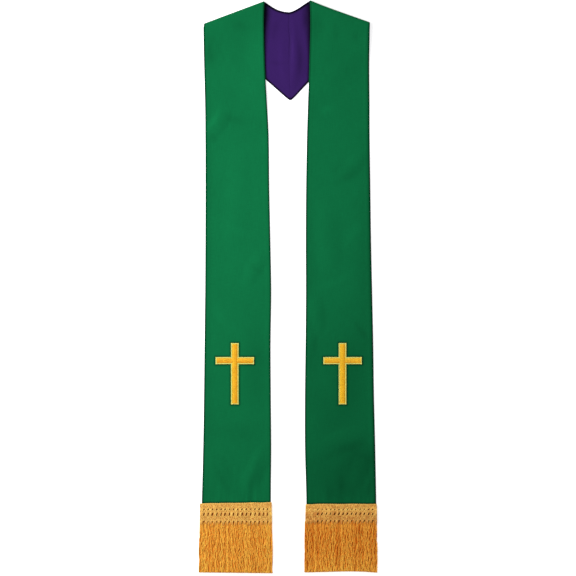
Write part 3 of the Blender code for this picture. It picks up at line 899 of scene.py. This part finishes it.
def clothShell(name, side, kind, finish):
    values = clothGrids[kind]
    across = gridShares(values["columns"])
    seamSteps = np.array(grid["seamSteps"])
    restOfBack = np.linspace(seamSteps[-1], 1, values["backRows"] + 1)[1:-1]
    backShares = np.concatenate((seamSteps, restOfBack))
    foldAngles = np.linspace(-math.pi / 2, math.pi / 2, grid["foldRows"] + 1)
    frontShares = frontRowShares(side, values["frontStep"], values["fineStep"])
    rows, cuts = seamLayer(side, across, backShares, foldAngles, frontShares)
    down, acrossWay = np.gradient(rows, axis=0), np.gradient(rows, axis=1)
    normals = np.cross(down, acrossWay) * side["sign"]
    normals /= np.linalg.norm(normals, axis=2, keepdims=True)
    width = np.linalg.norm(rows[:, -1] - rows[:, 0], axis=1)[:, None]
    distance = np.minimum(across[None], 1 - across[None]) * width
    backCount = len(backShares)
    x, y = rows[:, :, 0], rows[:, :, 1]
    seamDistance = np.full(x.shape, np.inf)
    seamDistance[:backCount] = np.abs(x[:backCount] - rows[0, :, 0][None])
    rowNumber = np.arange(len(rows))[:, None] - backCount
    onBack = (rowNumber < 0) * 1.0
    onFront = smoothStep((rowNumber - grid["foldRows"] / 2) / grid["reliefRows"])
    pressedIn = smoothStep((distance - cloth["allowance"]) / cloth["allowanceFades"])
    allowance = cloth["allowanceRise"] * (1 - pressedIn)
    if kind == "face":
        relief = (allowance + faceRelief(side, x, y)) * onFront
        # painted light and shade of the face, with painted shade along its edges
        paintedShading = facePaintedShading(side, x, y)
        start, reach, loss = cloth["besideBack"]
        fades = (1 - loss * smoothStep((y - start) / reach), 1.0)
        for (amount, reach), share, fade in zip(side["edgeShade"], (across, 1 - across), fades):
            paintedShading = paintedShading * (1 - amount * fade * bell(share[None] * width / reach))
        paintedShading = blendTo(1, paintedShading, onFront)
        way = 1.0
    else:
        waveHeight, waveLength = cloth["liningWaves"]
        creases = creaseHeight(side, liningCreases, x, y)
        relief = (allowance + creases + waveHeight * softWaves(x, y, waveLength, 21)) * onBack
        start, size = cloth["panelRange"]
        reach = blendTo(*cloth["panelShade"], smoothStep((y - start) / size))
        # painted shadow of the front on the back beside it, and painted light and shade in the lining's
        # creases
        clear = smoothStep(besidePanel(side, x, y) / reach) ** 0.6
        paintedShading = (1 + cloth["liningCreaseShading"] * creases) * blendTo(cloth["panelDeepest"], 1, clear)
        paintedShading = blendTo(1, paintedShading, onBack)
        way = -1.0
    gap = cloth["innerGap"]
    low = blendTo(gap, cloth["halfLayer"] - cloth["wall"], smoothStep(distance / cloth["edgeThins"]))
    start, size = cloth["seamFades"]
    seamClear = smoothStep((y - start) / size)
    depth, reach, least = cloth["seamDip"]
    dip = depth * bell(seamDistance / reach) * blendTo(least, 1, seamClear)
    high = low + (cloth["halfLayer"] - low) * roundedEdge(distance) - dip
    high = high + relief * smoothStep(distance / cloth["reliefStarts"])
    high = np.maximum(high, low + cloth["thinnest"])
    outer = rows + normals * (high * way)[:, :, None]
    inner = rows + normals * (low * way)[:, :, None]
    outer[:, :, 2] = np.maximum(outer[:, :, 2], 0.0)
    # painted shade along the centre back seam
    amount, reach, least = cloth["seamShade"]
    paintedShading = paintedShading * (1 - amount * blendTo(least, 1, seamClear) * bell(seamDistance / reach))
    marks = {"edgeDistance": distance * 0.001, "paintedShading": paintedShading}
    addShell(name, outer, inner, cuts, marks, finishes[finish])


for sideName, side in sides.items():
    clothShell(f"faceCloth{sideName}", side, "face", "greenCloth")
    clothShell(f"lining{sideName}", side, "lining", "purpleLining")
print("cloth: two halves, each with its face and lining")

# Embroidered crosses


def satinBand(side, start, end, halfWidth, crest, rng, points):
    # Threads laid side by side across a band that runs from start to end
    start, end = np.array(start, float), np.array(end, float)
    length = np.hypot(*(end - start))
    way = (end - start) / length
    acrossWay = np.array((-way[1], way[0]))
    count = max(2, int(length / cross["pitch"]))
    placeSpread, placeLimit, leanSpread, leanLimit = cross["uneven"]
    places = (np.arange(count) + 0.5) / count * length
    places = places + np.clip(rng.normal(0, placeSpread, count), -placeLimit, placeLimit)
    span = np.linspace(-1, 1, points)
    offset = span[None] * halfWidth * (1 + rng.normal(0, cross["lengthSpread"], (count, 1)))
    lean = np.clip(rng.normal(0, leanSpread, (count, 1)), -leanLimit, leanLimit) * span[None]
    along = places[:, None] + lean
    plan = start + along[:, :, None] * way + offset[:, :, None] * acrossWay
    dome = crest * (0.4 + 0.6 * np.clip(1 - np.abs(span) ** 2.2, 0, 1) ** 0.6)
    dome[[0, -1]] = 0.0  # both ends go down to the cloth
    unevenness = rng.normal(0, cross["heightSpread"], (count, 1))
    height = faceTop(side, plan[:, :, 0], plan[:, :, 1]) + cross["lift"] + dome[None] + unevenness
    return np.concatenate((plan, height[:, :, None]), axis=2)


def crossCorners(side):
    x = side["crossX"]
    halfUp, halfArm, reach = cross["uprightWidth"] / 2, cross["armWidth"] / 2, cross["span"] / 2
    armTop, armLow = cross["armY"] + halfArm, cross["armY"] - halfArm
    right = [
        (halfUp, cross["top"]),
        (halfUp, armTop),
        (reach, armTop),
        (reach, armLow),
        (halfUp, armLow),
        (halfUp, cross["bottom"]),
    ]
    left = [(-dx, y) for dx, y in reversed(right)]
    return [np.array((x + dx, y)) for dx, y in right + left]


def makeCross(sideName, side, rng):
    x, inset = side["crossX"], cross["borderWidth"] * cross["inset"]
    halfUp = cross["uprightWidth"] / 2 - inset
    halfArm = cross["armWidth"] / 2 - inset
    reach = cross["span"] / 2 - inset
    top, low, armY = cross["top"] - inset, cross["bottom"] + inset, cross["armY"]
    crest, under = cross["fillCrest"], halfUp - cross["overlap"]
    fill = [satinBand(side, (x, top), (x, low), halfUp, crest, rng, 9)]
    for start, end in ((-reach, -under), (under, reach)):
        ends = ((x + start, armY), (x + end, armY))
        fill.append(satinBand(side, *ends, halfArm, crest * 0.97, rng, 9))
    corners = crossCorners(side)
    border = []
    for i, corner in enumerate(corners):
        following = corners[(i + 1) % len(corners)]
        way = (following - corner) / np.hypot(*(following - corner))
        inwardWay = np.array((way[1], -way[0]))
        half = cross["borderWidth"] / 2
        shift = inwardWay * half
        # Beside the four corners between upright and arms a border runs on to meet the next
        start = corner - way * 2 * half * (i % 3 == 1) + shift
        end = following + way * 2 * half * (i % 3 == 0) + shift
        border.append(satinBand(side, start, end, half, cross["borderCrest"], rng, 6))
    radius = cross["threadRadius"]
    fillTubes = []
    for paths, brighter in zip(fill, (-1, 1, 1)):  # painted shade: the fill is darker to the right and below, away from the lamp, and lighter towards it
        paintedLightShade = brighter * cross["paintedLightShade"] * np.linspace(-1, 1, paths.shape[1])[None]
        tone = rng.uniform(*side["fillTones"], (len(paths), 1)) + paintedLightShade
        fillTubes.append((paths, radius, 4, cross["flatness"], tone))
    borderTubes = []
    for paths in border:
        tone = rng.uniform(*cross["borderTones"], (len(paths), 1))
        borderTubes.append((paths, radius, 4, cross["flatness"], tone))
    addTubes(f"crossFill{sideName}", fillTubes, finishes["fillThread"])
    addTubes(f"crossBorder{sideName}", borderTubes, finishes["borderThread"])


def makeBoth(make, seed):  # left and right, each with random draws of its own
    for number, (sideName, side) in enumerate(sides.items()):
        make(sideName, side, np.random.default_rng(seed + number))


makeBoth(makeCross, 40)
print("crosses: satin stitch fill and border")

# Crocheted headings


def headingPlace(side, acrossShare, down, height):
    inner, outer = side["heading"]
    widening, flareDown = heading["flare"]
    flare = widening * np.clip(down / flareDown, 0, 1)
    x = blendTo(inner - side["sign"] * flare, outer + side["sign"] * flare, acrossShare)
    share = np.clip(1 - down / heading["straightBelow"], 0, 1)
    top = blendTo(heading["top"], headingTop(side, x), share)
    return np.stack((x, top - down * side["headingDepth"], heading["base"] + height), -1)


def stitchRow(side, down, rng):  # a row of small V stitches, two legs each
    count = heading["repeats"] * heading["stitches"]
    width = 1 / count
    span = np.linspace(0, 1, 5)[None]
    low, rise = heading["stitchHeight"]
    groups = []
    for leg in (-1, 1):
        centre = np.arange(count)[:, None] + 0.5 + rng.normal(0, 0.05, (count, 1))
        across = (centre + leg * (0.36 - 0.24 * span)) * width
        downs = down + (span - 0.5) * heading["stitchLength"] + rng.normal(0, 0.10, (count, 1))
        height = low + rise * np.sin(math.pi * (0.12 + 0.72 * span)) + rng.normal(0, 0.06, (count, 1))
        groups.append(headingPlace(side, across, downs, height))
    return np.concatenate(groups)


def postRow(side, row, rng):  # upright cords that leave a hole at each repeat's edge
    top, bottom, places, radius, slant, pinch, dive = row
    repeats = heading["repeats"]
    size = abs(side["heading"][1] - side["heading"][0])
    span = np.linspace(0, 1, 8)[None]
    low, rise = heading["postHeight"]
    groups = []
    rows = [((np.arange(repeats) + 0.5) * size / repeats, place) for place in places]
    shut = [0.0, *(np.arange(side["closedRepeats"]) + 1.0), repeats]
    rows.append((np.array(shut) * size / repeats, 0.0))
    for centre, place in rows:
        count = (len(centre), 1)
        offset = place * (1 - pinch * np.sin(math.pi * span))
        offset = offset + slant * side["slant"] * (0.5 - span) * side["sign"]
        offset = offset + rng.normal(0, 0.22, count)
        downs = blendTo(top, bottom, span) + rng.normal(0, 0.2, count)
        height = low + rise * np.sin(math.pi * (0.08 + 0.84 * span)) ** 0.7
        height = height + rng.normal(0, 0.05, count) - dive * span**3
        downs = downs + dive * rng.uniform(-1.2, 1.8, count) * span
        share = np.clip((centre[:, None] + offset) / size, 0.006, 0.994)
        groups.append(headingPlace(side, share, downs, height))
    taper = 1 - 0.4 * min(dive, 1) * span**3
    return np.concatenate(groups), radius * taper


def runningCord(side, down):
    stitches = heading["repeats"] * heading["stitches"]
    share = np.linspace(0, 1, stitches * 3)[None]
    downs = down + heading["cordWave"] * np.sin(share * stitches * math.pi)
    return headingPlace(side, share, downs, heading["cordHeight"] + 0 * share)


def makeHeading(sideName, side, rng):
    tubes = []
    # painted shade: drop darkens the threads on the side further from the light
    drop, upper = side["toneDrop"], heading["upperRows"]
    for down in heading["stitchRows"]:
        paths = stitchRow(side, down, rng)
        tone = rng.uniform(*heading["stitchTones"], (len(paths), 1)) - heading["stitchDrop"] * drop
        tone = tone + side["topTone"] * (down < upper)
        tubes.append((paths, heading["cordRadius"], 5, 1.0, tone))
    for row in headingPosts:
        paths, radius = postRow(side, row, rng)
        tone = rng.uniform(*heading["postTones"], (len(paths), 1)) - heading["drop"] * drop
        tone = tone + heading["upperPosts"] * (row[0] < upper)
        # painted shade: the lowest posts darken towards the ends that dive in among the fringe
        diving = (row[-1] > 0) * np.linspace(0, 1, paths.shape[1])[None]
        tubes.append((paths, radius, 6, 0.9, tone * (1 - 0.9 * diving)))
    for down, radius in heading["cords"]:
        tone = heading["cordTone"] * (1 - drop) + side["topTone"] * (down < upper)
        tubes.append((runningCord(side, down), radius, 6, 1.0, tone))
    addTubes(f"heading{sideName}", tubes, finishes["headingCord"])
    # A plain woven back, which the holes look down on; its dark brown is painted shade inside the
    # holes, darker still on the side further from the light
    share, downs = np.meshgrid(np.linspace(*heading["backAcross"]), np.linspace(*heading["backDown"]))
    outer, inner = (headingPlace(side, share, downs, h + 0 * share) for h in heading["backHeights"])
    marks = {"tone": np.full(share.shape, (1 - drop) ** 3)}
    name = f"headingBack{sideName}"
    addShell(name, outer, inner, outer[:, :, :2], marks, finishes["headingBack"])


makeBoth(makeHeading, 60)
print("headings: bands of crochet over a plain back")

# Fringe

fringe = {
    "rootDown": 39.0,  # below the heading's top
    "sway": 1.5,
    "raggedTips": 0.8,
    "loosensBy": 0.25,  # shares of the length
    "spreadsBy": 0.6,
    "slowWave": (24, 60),  # lengths of the locks' waves, of their turns and of the crimp
    "quickWave": (9, 15),
    "lockTurn": (16, 30),
    "crimpWave": (6.0, 11.0),
    "lockSize": (0.6, 1.15),  # share of a layer's lockRadius
    "highest": 4.4,
}
# Under threads fill the strip evenly. Over them lie locks of a few threads that turn together.
fringeLayers = {
    "under": {
        "locks": 20,  # in a bunch
        "threads": 1,  # in a lock
        "radius": 0.86,
        "spread": 0.50,
        "stray": 0.001,
        "heights": (0.95, 1.35),
        "wander": 0.04,
        "lockRadius": 0.0,
        "crimp": (0.02, 0.08),
        "tones": (0.0, 0.40),
        "sides": 4,
        "steps": 14,
    },
    "over": {
        "locks": 4,
        "threads": 5,
        "radius": 0.60,
        "spread": 0.44,
        "stray": 0.003,
        "heights": (2.2, 3.1),
        "wander": 1.1,
        "lockRadius": 0.8,
        "crimp": (0.15, 0.42),
        "tones": (0.15, 1.0),
        "sides": 5,
        "steps": 40,
    },
}


def fringeThreads(side, layer, rng):
    locks = heading["repeats"] * layer["locks"]
    count = locks * layer["threads"]
    inner, outer = side["fringeRoots"]
    pitch = (outer - inner) / heading["repeats"]
    bunch = np.repeat(np.arange(heading["repeats"]), layer["locks"])
    within = (np.tile(np.arange(layer["locks"]), heading["repeats"]) + 0.5) / layer["locks"]
    place = bunch + 0.5 + (within * 2 - 1) * layer["spread"] + rng.normal(0, 6 * layer["stray"], locks)
    tipShare = (np.arange(locks) + 0.5) / locks + rng.normal(0, layer["stray"], locks)

    def perLock(values):
        return np.repeat(values, layer["threads"])[:, None]

    tipShare = perLock(np.clip(tipShare, 0.004, 0.996))
    share = np.linspace(0, 1, layer["steps"] + 1)[None]
    loose = smoothStep(share / fringe["loosensBy"])
    spreading = smoothStep(share / fringe["spreadsBy"])
    tipY = blendTo(*side["tipLine"], tipShare) + side["tipArch"] * np.sin(math.pi * tipShare**1.5)
    tipY = tipY + rng.uniform(0, 1, (count, 1)) ** 2 * fringe["raggedTips"]
    y = blendTo(heading["top"] - fringe["rootDown"] * side["headingDepth"], tipY, share)
    x = blendTo(perLock(inner + place * pitch), blendTo(*side["fringeTips"], tipShare), spreading)
    x = x + fringe["sway"] * softWaves(x * 0.55, y * 0.7, 30.0, 70 + side["sign"]) * loose
    for lengths, amount in ((fringe["slowWave"], 1.0), (fringe["quickWave"], 0.35)):
        turns = y / perLock(rng.uniform(*lengths, locks)) + perLock(rng.uniform(0, 1, locks))
        x = x + layer["wander"] * amount * np.sin(math.tau * turns) * loose
    # threads of a lock turn round its middle
    start = rng.uniform(0, math.tau, (count, 1))
    turnLength = rng.uniform(*fringe["lockTurn"], locks) * rng.choice((-1, 1), locks)
    turn = start + math.tau * y / perLock(turnLength)
    reach = layer["lockRadius"] * rng.uniform(*fringe["lockSize"], (count, 1))
    x = x + reach * np.cos(turn)
    size = rng.uniform(*layer["crimp"], (count, 1))
    crimp = y / rng.uniform(*fringe["crimpWave"], (count, 1)) + rng.uniform(0, 1, (count, 1))
    crimp = math.tau * crimp
    x = x + size * np.sin(crimp) * loose
    ends = zip(side["fringeRoots"], side["fringeTips"])
    limits = [blendTo(root, tip, spreading) for root, tip in ends]
    low, high = np.minimum(*limits) + layer["radius"], np.maximum(*limits) - layer["radius"]
    x = np.clip(x, low, high)
    z = blendTo(*layer["heights"], perLock(rng.uniform(0, 1, locks)))
    z = z + 0.8 * reach * np.sin(turn) + 0.5 * size * np.cos(crimp) * loose
    z = np.clip(z, layer["radius"] + 0.1, fringe["highest"])
    tone = 0.55 * perLock(rng.uniform(0, 1, locks))[:, 0] + 0.45 * rng.uniform(0, 1, count)
    # painted shade darkens the threads of the side further from the light
    tone = blendTo(*layer["tones"], tone) - heading["drop"] * side["toneDrop"]
    tone = tone[:, None] + side["tipTone"] * share**4
    return np.stack((x, y, z), -1), layer["radius"], layer["sides"], 1.0, tone


def makeFringe(sideName, side, rng):
    tubes = [fringeThreads(side, layer, rng) for layer in fringeLayers.values()]
    addTubes(f"fringe{sideName}", tubes, finishes["fringeThread"])


makeBoth(makeFringe, 80)
print("fringes: bunches of crimped threads")

# What each piece stands for

roles = {
    "faceCloth": ("face_cloth", "green_cloth"),
    "lining": ("lining", "purple_lining"),
    "crossFill": ("cross", "gold_embroidery"),
    "crossBorder": (None, "gold_embroidery"),
    "heading": ("heading", "gold_heading"),
    "headingBack": (None, "gold_heading"),
    "fringe": ("fringe", "gold_fringe"),
}

for sideName in sides:
    for role, (node, slot) in roles.items():
        piece = pieces[role + sideName]
        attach(piece, "root")
        if node:
            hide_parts(f"{node}_{sideName.lower()}")

# Floor, light and camera

studio = {
    "floorSize": 8.0,
    "floorDown": 0.0006,
    "floorColour": (243, 243, 243),
    "floorGlow": 0.62,
    "skyStrength": 0.44,
    "lampPlace": (-0.95, 0.30, 0.95),
    "lampAim": (0.0, 0.05, 0.0),
    "lampSize": 0.7,
    "lampPower": 21.5,
    "cameraHeight": 6.4,
    "cameraCentre": (0.0, -0.003),
    "lens": 200.0,
}

bpy.ops.object.select_all(action="DESELECT")
bpy.ops.mesh.primitive_plane_add(size=studio["floorSize"], location=(0, 0, -studio["floorDown"]))
floor = bpy.context.object
floor.name = "floor"
bpy.ops.object.transform_apply(location=True, rotation=True, scale=True)
floorFinish, _, floorShader = startFinish("paleFloor", studio["floorColour"], 0.9, 0.0)
floorShader.inputs["Emission Color"].default_value = (1.0, 1.0, 1.0, 1.0)
floorShader.inputs["Emission Strength"].default_value = studio["floorGlow"]
floor.data.materials.append(floorFinish)

lampData = bpy.data.lights.new("softLamp", "AREA")
lampData.energy = studio["lampPower"]
lampData.size = studio["lampSize"]
lamp = bpy.data.objects.new("softLamp", lampData)
bpy.context.scene.collection.objects.link(lamp)
lamp.location = studio["lampPlace"]
aim = Vector(studio["lampAim"]) - lamp.location
lamp.rotation_euler = aim.to_track_quat("-Z", "Y").to_euler()

sky = bpy.data.worlds.new("studio")
sky.use_nodes = True
sky.node_tree.nodes["Background"].inputs["Color"].default_value = (1.0, 1.0, 1.0, 1.0)
sky.node_tree.nodes["Background"].inputs["Strength"].default_value = studio["skyStrength"]
bpy.context.scene.world = sky
bpy.context.scene.view_settings.view_transform = "Standard"

cameraData = bpy.data.cameras.new("overhead")
cameraData.lens = studio["lens"]
camera = bpy.data.objects.new("overhead", cameraData)
bpy.context.scene.collection.objects.link(camera)
camera.location = (*studio["cameraCentre"], studio["cameraHeight"])
bpy.context.scene.camera = camera
print("studio: floor, lamp and camera")

bpy.context.view_layer.update()
